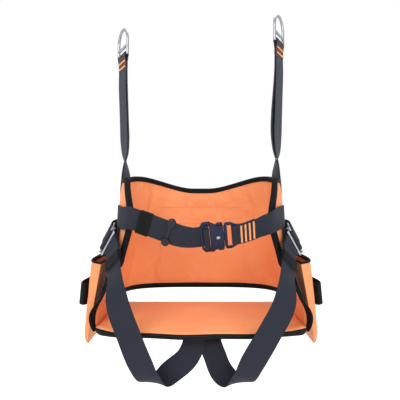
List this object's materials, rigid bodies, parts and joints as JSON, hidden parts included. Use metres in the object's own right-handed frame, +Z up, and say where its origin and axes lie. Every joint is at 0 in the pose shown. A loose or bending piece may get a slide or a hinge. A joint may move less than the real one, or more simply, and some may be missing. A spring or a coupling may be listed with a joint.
{
  "type": "bosun's chair",
  "caption": "Soft bosun's chair: fabric seat and wrap-around back slung from two rings by webbing, with a buckled waist belt, leg loops and side pouches.",
  "frame": {"origin": "midway between the tops of the two ring eyes, where the chair hangs from its halyard", "axes": "+Z up, +Y towards the back of the sitter, +X towards the side of the belt that carries the tongue"},
  "size_m": [0.5124, 0.3003, 0.7691],
  "materials": {
    "orange_fabric": "coated woven cloth",
    "black_binding": "woven tape",
    "navy_webbing": "flat woven webbing",
    "stainless_steel": "polished",
    "dark_anodised": "anodised",
    "black_plastic": "moulded",
    "plywood": "plain"
  },
  "bodies": {
    "chair": {"back_panel": "orange_fabric", "back_binding": "black_binding", "back_patch": "orange_fabric", "seat_cover": "orange_fabric", "seat_board": "plywood", "seat_binding": "black_binding", "left_wing": "orange_fabric", "right_wing": "orange_fabric", "left_wing_binding": "black_binding", "right_wing_binding": "black_binding", "left_slot_binding": "black_binding", "right_slot_binding": "black_binding", "front_sling": "navy_webbing", "rear_sling": "navy_webbing", "left_riser": "navy_webbing", "right_riser": "navy_webbing", "belt_back": "navy_webbing", "belt_left": "navy_webbing", "belt_right": "navy_webbing", "buckle_base": "dark_anodised", "buckle_cover": "dark_anodised", "buckle_bar": "stainless_steel", "buckle_rivets": "stainless_steel", "left_hip_loop": "navy_webbing", "right_hip_loop": "navy_webbing", "left_adjuster": "stainless_steel", "right_adjuster": "stainless_steel", "left_adjuster_bar": "stainless_steel", "right_adjuster_bar": "stainless_steel", "left_leg_strap": "navy_webbing", "right_leg_strap": "navy_webbing", "left_pouch": "orange_fabric", "right_pouch": "orange_fabric", "left_pouch_rim": "black_binding", "right_pouch_rim": "black_binding", "left_pouch_hanger": "navy_webbing", "right_pouch_hanger": "navy_webbing", "left_tool_loop": "black_binding", "right_tool_loop": "black_binding"},
    "left_ring": {"left_ring": "stainless_steel"},
    "right_ring": {"right_ring": "stainless_steel"},
    "tongue": {"tongue": "dark_anodised", "belt_loop_end": "navy_webbing"},
    "upper_clip": {"upper_clip": "black_plastic"},
    "lower_clip": {"lower_clip": "black_plastic"},
    "belt_elastic": {"belt_elastic": "black_binding"},
    "belt_clip": {"belt_clip": "black_plastic"},
    "left_leg_keeper": {"left_leg_keeper": "black_binding"},
    "right_leg_keeper": {"right_leg_keeper": "black_binding"}
  },
  "joints": [
    {"name": "left_ring_swing", "type": "hinge", "parent": "chair", "child": "left_ring", "pos_m": [-0.177, 0.03, -0.072], "axis": [-0.5, 0.866, 0], "range_deg": [-150, 150]},
    {"name": "right_ring_swing", "type": "hinge", "parent": "chair", "child": "right_ring", "pos_m": [0.177, 0.03, -0.041], "axis": [0.5, 0.866, 0], "range_deg": [-150, 150]},
    {"name": "tongue_release", "type": "slide", "parent": "chair", "child": "tongue", "axis": [0.9925, 0, 0.1219], "range_m": [0, 0.024], "deforming": ["belt_loop_end"]},
    {"name": "upper_clip_pinch", "type": "hinge", "parent": "chair", "child": "upper_clip", "pos_m": [0.02965, -0.125, -0.45091], "axis": [-0.0609, 0.866, 0.4963], "range_deg": [0, 12], "stiffness_Nm_per_rad": 0.05},
    {"name": "lower_clip_pinch", "type": "hinge", "parent": "chair", "child": "lower_clip", "pos_m": [0.03387, -0.105, -0.48529], "axis": [-0.0609, 0.866, 0.4963], "range_deg": [-12, 0], "stiffness_Nm_per_rad": 0.05},
    {"name": "belt_elastic_slide", "type": "slide", "parent": "chair", "child": "belt_elastic", "axis": [0.9402, -0.05, -0.3371], "range_m": [0, 0.018]},
    {"name": "belt_clip_slide", "type": "slide", "parent": "chair", "child": "belt_clip", "axis": [0.9402, -0.05, -0.3371], "range_m": [-0.01, 0]},
    {"name": "left_leg_keeper_slide", "type": "slide", "parent": "chair", "child": "left_leg_keeper", "axis": [0.193, -0.6925, -0.6951], "range_m": [-0.004, 0.004]},
    {"name": "right_leg_keeper_slide", "type": "slide", "parent": "chair", "child": "right_leg_keeper", "axis": [-0.193, -0.6925, -0.6951], "range_m": [-0.004, 0.004]}
  ]
}
